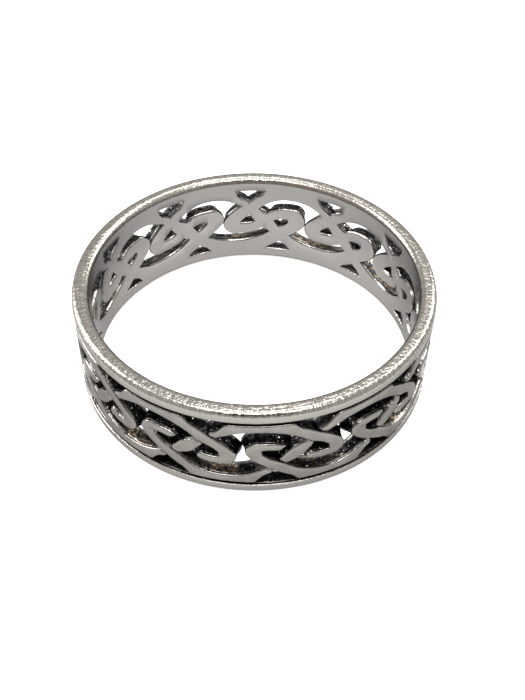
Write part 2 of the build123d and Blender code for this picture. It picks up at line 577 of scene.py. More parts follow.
@dataclass(frozen=True)
class Shoulder:
    """Full-height metal between an arc and its groove, with a slanting end at each triangle."""

    band: BandSizes = BandSizes()
    groove_foot: float = 2.24
    web_left: tuple[Place, Place] = ((0.030, 0.76), (-0.066, 1.00))
    web_right: tuple[Place, Place] = ((0.405, 1.00), (0.315, 0.74))
    longest: float = 0.95
    low_share: float = 0.66  # of the field's half height, where the slanting lines start
    least_height: float = 0.5  # of the field's half height, below which the strand has no shoulder
    least_facing: float = 0.2  # how far a side has to face the rim to have one

    def along_at(self, line: tuple[Place, Place], up: float) -> float:
        """Length round the outside at which a slanting line has a height.

        Args:
            line: Two points of the line, as shares of the pitch and of the field's half height.
            up: The height, in millimetres.

        Returns:
            The length.
        """
        (ax, ay), (bx, by) = line
        share = (up / self.band.field_half - ay) / (by - ay)
        return (ax + (bx - ax) * share) * self.band.pitch

    def outline(self) -> list[Place]:
        """The line that the shoulder reaches: up one slant, along the groove and down the other.

        Returns:
            Its corners.
        """
        low, high = self.low_share * self.band.field_half, self.groove_foot
        pitch = self.band.pitch
        return [
            (self.along_at(self.web_right, low), low),
            (self.along_at(self.web_right, high), high),
            (self.along_at(self.web_left, high) + pitch, high),
            (self.along_at(self.web_left, low) + pitch, low),
        ]

    def reach(self, point: PathPoint, hand: int) -> tuple[float, bool]:
        """How far the shoulder reaches from the strand's middle line, or 0 where there is none.

        Args:
            point: Point of the strand's middle line.
            hand: 1 for the left of its heading, -1 for the right.

        Returns:
            The distance, in millimetres, and whether the shoulder ends there at the groove.
        """
        normal = (-point.heading[1] * hand, point.heading[0] * hand)
        turn = 1 if point.up > 0 else -1
        too_low = abs(point.up) < self.least_height * self.band.field_half
        if too_low or normal[1] * turn < self.least_facing:
            return 0.0, False
        start = (point.along * turn, point.up * turn)
        heading = (normal[0] * turn, normal[1] * turn)
        shift = math.floor(start[0] / self.band.pitch) * self.band.pitch
        found, at_groove = 0.0, False
        for move in (shift - self.band.pitch, shift, shift + self.band.pitch):
            line = [(along + move, up) for along, up in self.outline()]
            for number, (first, second) in enumerate(zip(line, line[1:])):
                length, share = meeting(start, heading, first, second)
                if 0 <= share <= 1 and found < length < self.longest:
                    found, at_groove = length, number == 1
        return found, at_groove


def unit_block(*cuts: int) -> Shape:
    """Unit cube, cut across so that it can be bent and shaped.

    Args:
        cuts: Number of cuts along each axis, X first.

    Returns:
        The cube.
    """
    block = bmesh.new()
    bmesh.ops.create_cube(block, size=1.0)
    for axis, number in enumerate(cuts):
        edges = [edge for edge in block.edges if edge.verts[0].co[axis] * edge.verts[1].co[axis] < 0]
        if number:
            bmesh.ops.subdivide_edges(block, edges=edges, cuts=number, use_grid_fill=True)
    return block


@dataclass(frozen=True)
class Web:
    """Floor of the groove between an arc and its rim, from one triangle to the next."""

    shoulder: Shoulder = Shoulder()
    inner_edge: InnerEdge = InnerEdge()
    floor_depth: float = 0.36
    below_hole: float = 0.09
    low: float = 2.02
    high: float = 2.62
    slant: float = 1.33  # along the ring for each millimetre that a slanting end moves
    cuts: int = 24

    def build(self, lean: float) -> Shape:
        """Block with slanting ends, cut into short lengths so that it bends.

        Args:
            lean: How far the triangles beside it lean in.

        Returns:
            The block, as along, depth and up.
        """
        wall = self.shoulder.band.wall
        levels = self.inner_edge.levels(self.floor_depth, wall, self.below_hole)
        block = unit_block(self.cuts, len(levels) - 2)
        for vert in block.verts:
            up = self.low if vert.co.z < 0 else self.high
            depth, back = levels[round((vert.co.y + 0.5) * (len(levels) - 1))]
            out = lean * self.slant * depth / wall - back
            start = self.shoulder.along_at(self.shoulder.web_right, up) - out
            end = self.shoulder.along_at(self.shoulder.web_left, up) + self.shoulder.band.pitch + out
            vert.co = Vector((start + (end - start) * (vert.co.x + 0.5), depth, up))
        return block


@dataclass(frozen=True)
class EyeTip:
    """Metal that fills the inside of the strand's turn, up to the small eye's tip."""

    band: BandSizes = BandSizes()
    line: tuple[Place, Place] = ((0.305, 0.080), (0.318, -0.180))
    overlap: float = 0.10
    breadth: float = 0.45
    top_depth: float = 0.015
    below_hole: float = 0.12
    lean: float = Lean.eye
    inner_edge: InnerEdge = InnerEdge()

    def build(self) -> Shape:
        """Small block beside the eye's tip line.

        Returns:
            The block, as along, depth and up.
        """
        (ax, ay), (bx, by) = [(x * self.band.pitch, z * self.band.field_half) for x, z in self.line]
        wall = self.band.wall
        levels = self.inner_edge.levels(self.top_depth, wall, self.below_hole)
        block = unit_block(0, len(levels) - 2)
        for vert in block.verts:
            share = 1.0 + self.overlap / (ay - by) if vert.co.z < 0 else -self.overlap / (ay - by)
            depth, back = levels[round((vert.co.y + 0.5) * (len(levels) - 1))]
            aside = self.breadth if vert.co.x > 0 else back - self.lean * depth / wall
            vert.co = Vector((ax + (bx - ax) * share + aside, depth, ay + (by - ay) * share))
        return block


@dataclass(frozen=True)
class Lathe:
    """Turned shapes of the band: its two plain rims, and the tool that opens the finger's hole."""

    band: BandSizes = BandSizes()
    steps: int = 352
    outer_steps: int = 8  # of the rims' outer round
    inner_steps: int = 8  # of their inner round
    small_steps: int = 3  # of the small round beside the knotwork
    field_round: float = 0.10
    above_small_round: float = 0.07
    field_up: float = 2.44
    inner_edge: InnerEdge = InnerEdge()
    lean_from: float = 0.36  # depth of the grooves, down to which the rim's side is upright
    below_hole: float = 0.075
    tool_inside: float = 3.0
    tool_beyond: float = 0.4
    tool_flare: int = 2  # steps of the round by which the tool goes straight on
    wall_rows: int = 8
    seam: float = 1e-5  # distance under which two corners of a turned shape are one

    @staticmethod
    def quarter(side: float, level: float, across: float, upward: float, steps: int) -> list[Place]:
        """Points of a quarter round between an upright side and a level face.

        Args:
            side: Radius of the upright side.
            level: Height of the level face.
            across: How far the round goes from the side, below 0 towards the axis.
            upward: How far it goes from the level face, below 0 downwards.
            steps: Number of steps.

        Returns:
            The points, from the side to the level face.
        """
        angles = [math.radians(90 * number / steps) for number in range(steps + 1)]
        return [(side + across * (1 - math.cos(a)), level + upward * (1 - math.sin(a))) for a in angles]

    def turned(self, profile: Sequence[Place]) -> Shape:
        """Spins a closed profile once round the axis.

        Args:
            profile: Radius and height of each corner, in order.

        Returns:
            The closed shape.
        """
        shape = bmesh.new()
        verts = [shape.verts.new((radius, 0.0, height)) for radius, height in profile]
        edges = [shape.edges.new((vert, verts[number - 1])) for number, vert in enumerate(verts)]
        bmesh.ops.spin(
            shape, geom=verts + edges, cent=(0, 0, 0), axis=(0, 0, 1), angle=2 * math.pi,
            steps=self.steps, use_merge=True,
        )
        bmesh.ops.remove_doubles(shape, verts=shape.verts[:], dist=self.seam)
        bmesh.ops.recalc_face_normals(shape, faces=shape.faces[:])
        return shape

    def rim(self, lean: float, facing_up: float) -> Shape:
        """A rim at the band's top, with its broad outer round and a small one beside the knotwork.

        Args:
            lean: How far its side leans in over the gaps.
            facing_up: How far that side faces up in the finished ring, 1 or -1.

        Returns:
            The closed rim.
        """
        band, small = self.band, self.field_round
        top, foot = band.width, band.width / 2 + self.field_up
        inside = band.inner_radius - self.below_hole
        outer, broad = band.outer_radius, band.outer_round
        profile = [(inside, top)]
        profile += reversed(self.quarter(outer, top, -broad, -broad, self.outer_steps))
        profile.append((outer, foot + small + self.above_small_round))
        profile += self.quarter(outer, foot, -small, small, self.small_steps)
        profile.append((outer - self.lean_from, foot))
        radius = self.inner_edge.radius_for(facing_up)
        for depth, back in self.inner_edge.rows(band.wall, band.wall + self.below_hole, radius):
            share = (depth - self.lean_from) / (band.wall - self.lean_from)
            profile.append((outer - depth, foot - lean * share + back))
        return self.turned(profile)

    def hole_tool(self) -> Shape:
        """Tube whose outside is the hole's wall, flared at both ends to round the rims' inner edges.

        Returns:
            The closed tube.
        """
        band = self.band
        upper = self.quarter(
            band.inner_radius, band.width, band.inner_round, -band.inner_round, self.inner_steps,
        )[:-1]
        (r1, z1), (r2, z2) = upper[-2:]
        upper.append((r2 + (r2 - r1) * self.tool_flare, z2 + (z2 - z1) * self.tool_flare))
        top = band.width + self.tool_beyond
        upper += [(upper[-1][0], top), (band.inner_radius - self.tool_inside, top)]
        lower = [(radius, band.width - height) for radius, height in reversed(upper)]
        tall = band.width - 2 * band.inner_round
        wall = [
            (band.inner_radius, band.inner_round + tall * number / self.wall_rows)
            for number in range(1, self.wall_rows)
        ]
        return self.turned(upper + lower + wall)


def show(name: str, data: bpy.types.ID) -> bpy.types.Object:
    """Makes an object of some data and puts it in the scene.

    Args:
        name: The object's name.
        data: Its mesh, camera or light.

    Returns:
        The object.
    """
    item = bpy.data.objects.new(name, data)
    bpy.context.scene.collection.objects.link(item)
    return item


class Solids:
    """Meshes made solid objects, and joined or cut by one another."""

    @staticmethod
    def solid(name: str, shapes: Sequence[Shape]) -> bpy.types.Object:
        """One object of one or more closed shapes that don't touch.

        Args:
            name: The object's name.
            shapes: The shapes, which are freed.

        Returns:
            The object.
        """
        mesh = bpy.data.meshes.new(name)
        whole = bmesh.new()
        for shape in shapes:
            shape.normal_update()
            bmesh.ops.recalc_face_normals(shape, faces=shape.faces[:])
            shape.to_mesh(mesh)
            shape.free()
            whole.from_mesh(mesh)
        whole.to_mesh(mesh)
        whole.free()
        return show(name, mesh)

    @staticmethod
    def combine(piece: bpy.types.Object, other: bpy.types.Object, operation: str) -> None:
        """Joins another solid to a piece or cuts it away, and removes the other one.

        Args:
            piece: The piece, whose mesh is replaced.
            other: The other solid.
            operation: UNION or DIFFERENCE.
        """
        modifier = piece.modifiers.new("combine", "BOOLEAN")
        modifier.operation = operation
        modifier.solver = "MANIFOLD"
        modifier.object = other
        bpy.context.view_layer.update()
        shown = piece.evaluated_get(bpy.context.evaluated_depsgraph_get())
        mesh = bpy.data.meshes.new_from_object(shown)
        piece.modifiers.clear()
        old, piece.data = piece.data, mesh
        bpy.data.meshes.remove(old)
        bpy.data.objects.remove(other)


@dataclass
class KnotBand:
    """The whole ring: ribbons, shoulders and webs of knotwork between two rims, made one piece."""

    band: BandSizes = BandSizes()
    ribbon: Ribbon = Ribbon()
    shoulder: Shoulder = Shoulder()
    web: Web = Web()
    eye_tip: EyeTip = EyeTip()
    lathe: Lathe = Lathe()
    crease_deg: float = 38.0
    foot_from: float = 0.05  # below the hole's wall, from where a shape's points are its feet
    foot_step: float = 0.02  # by which each group of ribbons has deeper feet than the one before

    def placed(self, shape: Shape, knot: int, turned: bool, deeper: float = 0.0) -> Shape:
        """Copy of an unrolled shape, bent round the band.

        Args:
            shape: The shape, as along, depth and up.
            knot: Knots by which it is moved.
            turned: Whether it is first turned half a turn about knot 0.
            deeper: Added to the depth of its feet, so that no two of them coincide.

        Returns:
            The bent copy.
        """
        copy = shape.copy()
        side = -1 if turned else 1
        for vert in copy.verts:
            along, depth, up = vert.co
            if depth > self.band.wall + self.foot_from:
                depth += deeper
            vert.co = self.band.bent(side * along + knot * self.band.pitch, side * up, depth)
        return copy

    def repeated(self, upper: Shape, lower: Shape) -> list[Shape]:
        """Two shapes at every knot: one of its upper half, and one turned into its lower half.

        Args:
            upper: Shape for the upper half, at knot 0.
            lower: Shape for the lower half, given as it would lie in the upper one.

        Returns:
            The bent copies.
        """
        return [
            self.placed(shape, knot, turned)
            for knot in range(self.band.repeats)
            for shape, turned in ((upper, False), (lower, True))
        ]

    def build(self) -> bpy.types.Object:
        """Makes the ring, in metres.

        Returns:
            The ring.
        """
        strand = self.ribbon.build(self.shoulder)
        last = self.band.repeats - 1
        groups = [range(0, last, 2), range(1, last, 2), (last,)]  # in each, no two ribbons touch
        lean = self.ribbon.lean
        lower = self.lathe.rim(lean.lower_triangle, 1.0)
        bmesh.ops.scale(lower, vec=(1, 1, -1), verts=lower.verts[:])
        bmesh.ops.translate(lower, vec=(0, 0, self.band.width), verts=lower.verts[:])
        ring = Solids.solid("knotwork_ring", [self.lathe.rim(lean.upper_rim, -1.0), lower])
        webs = self.repeated(self.web.build(lean.upper_triangle), self.web.build(lean.lower_triangle))
        Solids.combine(ring, Solids.solid("webs", webs), "UNION")
        for number, knots in enumerate(groups):
            ribbons = [self.placed(strand, knot, False, self.foot_step * number) for knot in knots]
            Solids.combine(ring, Solids.solid("ribbons", ribbons), "UNION")
        eye_tip = self.eye_tip.build()
        Solids.combine(ring, Solids.solid("eye_tips", self.repeated(eye_tip, eye_tip)), "UNION")
        Solids.combine(ring, Solids.solid("hole", [self.lathe.hole_tool()]), "DIFFERENCE")
        self.finish(ring)
        return ring

    @staticmethod
    def drop_slivers(mesh: Shape) -> None:
        """Keeps the largest connected part, and drops the tiny ones that the joins leave.

        Args:
            mesh: The mesh, changed in place.
        """
        left, parts = set(mesh.verts), []
        while left:
            part = [left.pop()]
            for vert in part:
                near = {edge.other_vert(vert) for edge in vert.link_edges} & left
                left -= near
                part.extend(near)
            parts.append(part)
        whole = max(parts, key=len)
        loose = [vert for part in parts if part is not whole for vert in part]
        bmesh.ops.delete(mesh, geom=loose, context="VERTS")

    def finish(self, ring: bpy.types.Object) -> None:
        """Drops loose slivers, brings the mesh to metres and shades it smooth up to its creases.

        Args:
            ring: The ring, changed in place.
        """
        mesh = bmesh.new()
        mesh.from_mesh(ring.data)
        self.drop_slivers(mesh)
        bmesh.ops.recalc_face_normals(mesh, faces=mesh.faces[:])
        open_edges = sum(1 for edge in mesh.edges if not edge.is_manifold)
        bmesh.ops.scale(mesh, vec=(METRES,) * 3, verts=mesh.verts[:])
        for face in mesh.faces:
            face.material_index = 0
        mesh.to_mesh(ring.data)
        mesh.free()
        ring.data.materials.clear()
        ring.data.shade_smooth()
        ring.data.set_sharp_from_angle(angle=math.radians(self.crease_deg))
        LOG.info("ring: %d faces, %d edges without two faces", len(ring.data.polygons), open_edges)


# ---- finish ----


class Rise(NamedTuple):
    """The two values between which a mask grows from 0 to 1."""

    start: float
    full: float


class Pattern(NamedTuple):
    """A noise texture: its scale over a metre, and its detail."""

    scale: float
    detail: float


class Patches(NamedTuple):
    """A mask of patches: the values of a noise texture between which it grows from 0 to 1."""

    pattern: Pattern
    rise: Rise


class Line(NamedTuple):
    """A straight line by which one value follows another."""

    slope: float
    offset: float


class NodeBoard:
    """Adds nodes to one node tree and joins them up."""

    def __init__(self, tree: bpy.types.NodeTree) -> None:
        """Takes the tree to work on."""
        self.tree = tree

    def node(self, kind: str, **settings: object) -> bpy.types.Node:
        """Adds a node of a kind, with its settings.

        Args:
            kind: The node's type.
            settings: Its properties, by name.

        Returns:
            The node.
        """
        node = self.tree.nodes.new(kind)
        for name, value in settings.items():
            setattr(node, name, value)
        return node

    def feed(self, socket: Socket, value: Value) -> None:
        """Links an output to an input, or sets the input's own value.

        Args:
            socket: The input.
            value: An output, or a number or colour.
        """
        if isinstance(value, Socket):
            self.tree.links.new(value, socket)
        else:
            socket.default_value = value

    def coords(self, kind: str = "Object") -> Socket:
        """Texture coordinates of a kind."""
        return self.node("ShaderNodeTexCoord").outputs[kind]

    def maths(self, operation: str, *terms: Value) -> Socket:
        """Result of a Math node.

        Args:
            operation: What it does.
            terms: Its inputs.

        Returns:
            The output.
        """
        node = self.node("ShaderNodeMath", operation=operation)
        for socket, term in zip(node.inputs, terms):
            self.feed(socket, term)
        return node.outputs[0]

    def times(self, *terms: Value) -> Socket:
        """Product of two or more values.

        Args:
            terms: The values.

        Returns:
            The product.
        """
        product = terms[0]
        for term in terms[1:]:
            product = self.maths("MULTIPLY", product, term)
        return product

    def follow(self, value: Value, slope: Value, offset: Value) -> Socket:
        """Value on a straight line: slope times the value, plus the offset."""
        return self.maths("MULTIPLY_ADD", value, slope, offset)

    def ease(self, value: Value, start: Value, end: Value) -> Socket:
        """0 up to the start, 1 from the end on, and smooth between.

        Args:
            value: What is eased.
            start: The value that gives 0.
            end: The value that gives 1.

        Returns:
            The mask.
        """
        node = self.node("ShaderNodeMapRange", interpolation_type="SMOOTHSTEP")
        for name, given in (("Value", value), ("From Min", start), ("From Max", end)):
            self.feed(node.inputs[name], given)
        return node.outputs["Result"]

    def blend(self, share: Value, first: Value, second: Value) -> Socket:
        """Mix of two colours.

        Args:
            share: Share of the second colour.
            first: The first colour.
            second: The second colour.

        Returns:
            The mixed colour.
        """
        node = self.node("ShaderNodeMix", data_type="RGBA")
        for index, given in ((0, share), (6, first), (7, second)):
            self.feed(node.inputs[index], given)
        return node.outputs[2]

    def noise(self, vector: Value, scale: Value, detail: Value) -> Socket:
        """Value of a noise texture, about 0 to 1.

        Args:
            vector: Where it is read.
            scale: How fine it is.
            detail: How rough it is.

        Returns:
            The value.
        """
        node = self.node("ShaderNodeTexNoise")
        for name, given in (("Vector", vector), ("Scale", scale), ("Detail", detail)):
            self.feed(node.inputs[name], given)
        return node.outputs["Fac"]

    def split(self, vector: Value) -> Sockets:
        """The three values of a vector.

        Args:
            vector: The vector.

        Returns:
            The outputs, X first.
        """
        node = self.node("ShaderNodeSeparateXYZ")
        self.feed(node.inputs[0], vector)
        return node.outputs

    def vectors(self, operation: str, *terms: Value) -> Socket:
        """Result of a Vector Math node.

        Args:
            operation: What it does.
            terms: Its inputs, with the factor last if it scales.

        Returns:
            The output.
        """
        node = self.node("ShaderNodeVectorMath", operation=operation)
        places = (0, "Scale") if operation == "SCALE" else (0, 1)
        for place, term in zip(places, terms):
            self.feed(node.inputs[place], term)
        return node.outputs["Value" if operation == "DOT_PRODUCT" else "Vector"]

    def group(self, tree: bpy.types.NodeTree, **given: Value) -> Sockets:
        """Outputs of a node group, with its inputs fed by name.

        Args:
            tree: The group's tree.
            given: The inputs.

        Returns:
            The outputs.
        """
        node = self.node("ShaderNodeGroup", node_tree=tree)
        for name, value in given.items():
            self.feed(node.inputs[name], value)
        return node.outputs


class GroupKind(Enum):
    """The shader groups that the finish is put together from."""

    PLACE = "place_on_ring"
    BLACKENING = "blackening"
    CROSS_GRAIN = "cross_grain"


@dataclass
class ShaderGroups:
    """Builds each shader group once."""

    band: BandSizes = BandSizes()
    patches: Pattern = Pattern(3200.0, 3.0)
    large_patches: Pattern = Pattern(1100.0, 2.0)
    noise_middle: float = 0.5
    large_reach: float = 0.35  # how far the large patches move the worn edge
    hole_edge: float = 0.05
    worn_facing_up: Rise = Rise(0.2, 0.9)
    facing_hole: Rise = Rise(-0.85, -0.55)
    rim_edge: Rise = Rise(2.435, 2.46)  # heights from the band's middle
    scratch_detail: float = 3.0
    made: dict[GroupKind, bpy.types.NodeTree] = field(default_factory=dict)

    def get(self, kind: GroupKind) -> bpy.types.NodeTree:
        """The group of a kind, built when it is first asked for.

        Args:
            kind: Which group.

        Returns:
            The group's tree.
        """
        if kind not in self.made:
            build = {
                GroupKind.PLACE: self.place,
                GroupKind.BLACKENING: self.blackening,
                GroupKind.CROSS_GRAIN: self.cross_grain,
            }[kind]
            self.made[kind] = build(kind.value)
        return self.made[kind]

    @staticmethod
    def empty(
        name: str, inputs: Sequence[tuple[str, float]], outputs: Sequence[str],
    ) -> tuple[NodeBoard, Sockets, Sockets]:
        """New group with value sockets.

        Args:
            name: The group's name.
            inputs: Name and default of each input.
            outputs: Name of each output.

        Returns:
            The board, the values given to the group, and the sockets for what it gives back.
        """
        tree = bpy.data.node_groups.new(name, "ShaderNodeTree")
        kind = "NodeSocketFloat"
        for label, default in inputs:
            socket = tree.interface.new_socket(name=label, in_out="INPUT", socket_type=kind)
            socket.default_value = default
        for label in outputs:
            tree.interface.new_socket(name=label, in_out="OUTPUT", socket_type=kind)
        board = NodeBoard(tree)
        return board, board.node("NodeGroupInput").outputs, board.node("NodeGroupOutput").inputs

    def place(self, name: str) -> bpy.types.NodeTree:
        """Where a point lies on the ring, in millimetres, and how its surface faces.

        Args:
            name: The group's name.

        Returns:
            The group's tree.
        """
        board, _, out = self.empty(name, (), ("Depth", "Up", "Outward", "Upward"))
        spot, normal = board.split(board.coords()), board.split(board.coords("Normal"))
        square, outward = (
            board.maths("ADD", *(board.times(spot[axis], other[axis]) for axis in (0, 1)))
            for other in (spot, normal)
        )
        radius = board.maths("SQRT", square)
        in_millimetres = board.maths("DIVIDE", radius, METRES)
        height = board.maths("DIVIDE", spot[2], METRES)
        board.feed(out["Depth"], board.maths("SUBTRACT", self.band.outer_radius, in_millimetres))
        board.feed(out["Up"], board.maths("SUBTRACT", height, self.band.width / 2))
        board.feed(out["Outward"], board.maths("DIVIDE", outward, radius))
        board.feed(out["Upward"], normal[2])
        return board.tree

    def blackening(self, name: str) -> bpy.types.NodeTree:
        """How much of the black is left: all of it deep between the strands, none where fingers rub.

        It is worn off the outer edges, further down where a wall faces up, and off the hole's edges.

        Args:
            name: The group's name.

        Returns:
            The group's tree.
        """
        inputs = (
            ("Depth", 0.0), ("Up", 0.0), ("Outward", 0.0), ("Upward", 0.0), ("Patchiness", 0.06),
            ("Start", 0.05), ("Full", 0.13), ("Worn Above", 0.11), ("Worn Inside", 0.26),
        )
        board, given, out = self.empty(name, inputs, ("Cover",))
        small, large = (
            board.maths("SUBTRACT", board.noise(board.coords(), *pattern), self.noise_middle)
            for pattern in (self.patches, self.large_patches)
        )
        uneven = board.follow(small, given["Patchiness"], given["Depth"])
        lowered = board.times(board.ease(given["Upward"], *self.worn_facing_up), given["Worn Above"])
        left_of_depth = board.maths("SUBTRACT", uneven, lowered)
        above_hole = board.maths("SUBTRACT", self.band.wall - self.hole_edge, given["Depth"])
        near_hole = board.follow(large, self.large_reach, above_hole)
        on_rim = board.ease(board.maths("ABSOLUTE", given["Up"]), *self.rim_edge)
        cover = board.times(
            board.ease(left_of_depth, given["Start"], given["Full"]),
            board.ease(near_hole, 0.0, given["Worn Inside"]),
            board.ease(given["Outward"], *self.facing_hole),
            board.maths("SUBTRACT", 1.0, on_rim),
        )
        board.feed(out["Cover"], cover)
        return board.tree

    def cross_grain(self, name: str) -> bpy.types.NodeTree:
        """Fine scratches across the band: dense round it, long across and up it.

        Args:
            name: The group's name.

        Returns:
            The group's tree.
        """
        board, given, out = self.empty(name, (("Fineness", 9.0), ("Length", 1.0)), ("Height",))
        spot = board.split(board.coords())
        level = board.node("ShaderNodeCombineXYZ")
        for axis in (0, 1):
            board.feed(level.inputs[axis], spot[axis])
        heading = board.vectors("NORMALIZE", level.outputs[0])
        around = board.vectors("SCALE", heading, board.times(given["Fineness"], self.band.outer_radius))
        along = board.vectors("SCALE", board.coords(), board.maths("DIVIDE", given["Length"], METRES))
        both = board.vectors("ADD", around, along)
        board.feed(out["Height"], board.noise(both, 1.0, self.scratch_detail))
        return board.tree


@dataclass(frozen=True)
class Surface:
    """What the finish knows of a point of the surface, as sockets in the material."""

    board: NodeBoard
    coords: Socket
    depth: Socket  # below the outside, millimetres
    up: Socket  # from the band's middle, millimetres
    outward: Socket  # 1 facing out, -1 facing the hole
    upward: Socket
    cover: Socket  # how much of the black is left
    scratches: Socket
    grain: Socket
    on_rim: Socket
    on_end: Socket

    def mask(self, patches: Patches) -> Socket:
        """Mask of patches."""
        return self.board.ease(self.board.noise(self.coords, *patches.pattern), *patches.rise)


@dataclass(frozen=True)
class BlackenedSilver:
    """Satin silver that has kept its black in the cut-through places."""

    name: str = "blackened_silver"
    face: Colour = (0.138, 0.131, 0.121, 1.0)
    face_worn: Colour = (0.166, 0.159, 0.147, 1.0)
    hole: Colour = (0.160, 0.154, 0.147, 1.0)
    # painted reflection: the hole's wall shifts to this lighter colour towards the lower rim, in place
    # of the lit floor it would reflect
    hole_low_painted_reflection: Colour = (0.243, 0.234, 0.223, 1.0)
    rim_side: Colour = (0.192, 0.183, 0.169, 1.0)
    # the rims' satin tone, warmed by a painted warm reflection
    rim: Colour = (0.235, 0.222, 0.201, 1.0)
    rim_dull: Colour = (0.186, 0.173, 0.151, 1.0)
    black: Colour = (0.006, 0.006, 0.007, 1.0)
    soot: Colour = (0.035, 0.034, 0.034, 1.0)
    # brown: partly the worn patina, partly painted light, as it is used only on gap walls that face up
    brown_patina_and_painted_light: Colour = (0.22, 0.170, 0.115, 1.0)
    rust: Colour = (0.13, 0.065, 0.040, 1.0)
    # painted glints: specks brighter than the bare silver, standing in for sparkling highlights in the
    # black
    painted_glint: Colour = (0.75, 0.71, 0.63, 1.0)
    grazing: Colour = (0.45, 0.45, 0.45, 1.0)

    scratch_fineness: float = 11.0
    scratch_length: float = 0.9
    clouds: Patches = Patches(Pattern(900.0, 3.0), Rise(0.35, 0.7))
    rust_patches: Patches = Patches(Pattern(110.0, 0.0), Rise(0.50, 0.60))
    soot_patches: Patches = Patches(Pattern(2600.0, 3.0), Rise(0.45, 0.70))
    brown_areas: Patches = Patches(Pattern(450.0, 1.0), Rise(0.42, 0.58))
    brown_mottle: Patches = Patches(Pattern(4200.0, 2.0), Rise(0.42, 0.62))
    # pattern of the painted glints
    painted_glints: Pattern = Pattern(7500.0, 1.0)
    grain: Pattern = Pattern(9000.0, 3.0)
    ripples: Pattern = Pattern(3800.0, 1.5)
    pits: Pattern = Pattern(5200.0, 2.0)

    rim_edge: Rise = Rise(2.43, 2.50)  # heights from the band's middle, above and below
    rim_end: Rise = Rise(2.74, 3.04)
    # painted reflection: heights over which the hole's wall is painted lighter towards the lower rim
    hole_painted_reflection_rise: Rise = Rise(2.6, -2.4)  # heights from the band's middle
    wall_middle: Rise = Rise(-0.3, -1.2)
    wall_foot: Rise = Rise(-2.15, -1.9)
    rust_depth: Rise = Rise(0.84, 0.91)  # depths below the outside
    shallow: Rise = Rise(0.75, 0.10)
    crest_depth: Rise = Rise(0.47, 0.29)
    off_face: Rise = Rise(0.004, 0.03)
    facing_hole: Rise = Rise(-0.80, -0.98)  # 1 outward, -1 towards the hole
    off_hole: Rise = Rise(-0.97, -0.80)
    facing_out: Rise = Rise(0.2, 0.8)
    # how far a gap wall faces up before it takes the brown, which is partly painted light from above
    facing_up: Rise = Rise(0.55, 0.92)
    near_side: Rise = Rise(0.004, -0.003)  # metres along Y
    scratch_shine: Rise = Rise(0.40, 0.62)  # heights of the scratches
    painted_glint_soft: float = 0.03

    rust_strength: float = 0.7
    painted_glint_rarity: Line = Line(-0.06, 0.73)  # rarer the deeper they lie
    rough_bare: Line = Line(0.10, 0.14)  # by the grain
    rough_dark: float = 0.34
    near_ripple: Line = Line(0.75, 0.25)  # share of the ripple, stronger on the near side
    crest_polish: float = 0.8  # share of the scratches that is gone on the crest
    grain_depth: float = 0.0006
    edge_depth: float = 0.024
    scratch_depth: float = 0.0015
    ripple_depth: float = 0.029
    cast_depth: float = 0.030

    def survey(self, board: NodeBoard, groups: ShaderGroups) -> Surface:
        """Adds the nodes that tell where a point lies and what is left on it.

        Args:
            board: The material's board.
            groups: The shader groups.

        Returns:
            The sockets that the rest of the finish is made from.
        """
        place = board.group(groups.get(GroupKind.PLACE))
        height = board.maths("ABSOLUTE", place["Up"])
        coords = board.coords()
        return Surface(
            board=board,
            coords=coords,
            depth=place["Depth"],
            up=place["Up"],
            outward=place["Outward"],
            upward=place["Upward"],
            cover=board.group(
                groups.get(GroupKind.BLACKENING),
                **{name: place[name] for name in ("Depth", "Up", "Outward", "Upward")},
            )["Cover"],
            scratches=board.group(
                groups.get(GroupKind.CROSS_GRAIN),
                Fineness=self.scratch_fineness, Length=self.scratch_length,
            )["Height"],
            grain=board.noise(coords, *self.grain),
            on_rim=board.ease(height, *self.rim_edge),
            on_end=board.ease(height, *self.rim_end),
        )

    def bare_colour(self, spot: Surface) -> Socket:
        """Metal that the black has worn off: the faces, the hole with a painted reflection that
        lightens it towards the lower rim, and the rims with their rust and a painted warm reflection.

        Args:
            spot: What is known of the surface.

        Returns:
            The colour.
        """
        board = spot.board
        colour = board.blend(spot.mask(self.clouds), self.face, self.face_worn)
        # painted reflection: the hole's wall is painted lighter towards the lower rim
        hole = board.blend(board.ease(spot.up, *self.hole_painted_reflection_rise), self.hole, self.hole_low_painted_reflection)
        colour = board.blend(board.ease(spot.outward, *self.facing_hole), colour, hole)
        side = board.times(spot.on_rim, board.ease(spot.outward, *self.facing_out))
        colour = board.blend(side, colour, self.rim_side)
        # rims: satin tone with a painted warm reflection, lighter where the scratch pattern is high
        rim = board.blend(board.ease(spot.scratches, *self.scratch_shine), self.rim_dull, self.rim)
        colour = board.blend(board.times(spot.on_rim, spot.on_end), colour, rim)
        rusty = board.times(
            spot.on_end, spot.mask(self.rust_patches),
            board.ease(spot.depth, *self.rust_depth), self.rust_strength,
        )
        return board.blend(rusty, colour, self.rust)

    def dark_colour(self, spot: Surface) -> Socket:
        """What is left in the gaps: black, soot, brown on the lower walls that face up (partly worn
        patina, partly painted light from above), and painted glints as bright specks.

        Args:
            spot: What is known of the surface.

        Returns:
            The colour.
        """
        board = spot.board
        colour = board.blend(spot.mask(self.soot_patches), self.black, self.soot)
        # partly painted light: brown only on gap walls that face up, as if lit from above, besides the
        # worn patina
        shown = board.times(
            board.ease(spot.upward, *self.facing_up),
            board.ease(spot.up, *self.wall_middle),
            board.ease(spot.up, *self.wall_foot),
            spot.mask(self.brown_areas),
        )
        mottled_brown_and_painted_light = board.blend(spot.mask(self.brown_mottle), self.soot, self.brown_patina_and_painted_light)
        colour = board.blend(shown, colour, mottled_brown_and_painted_light)
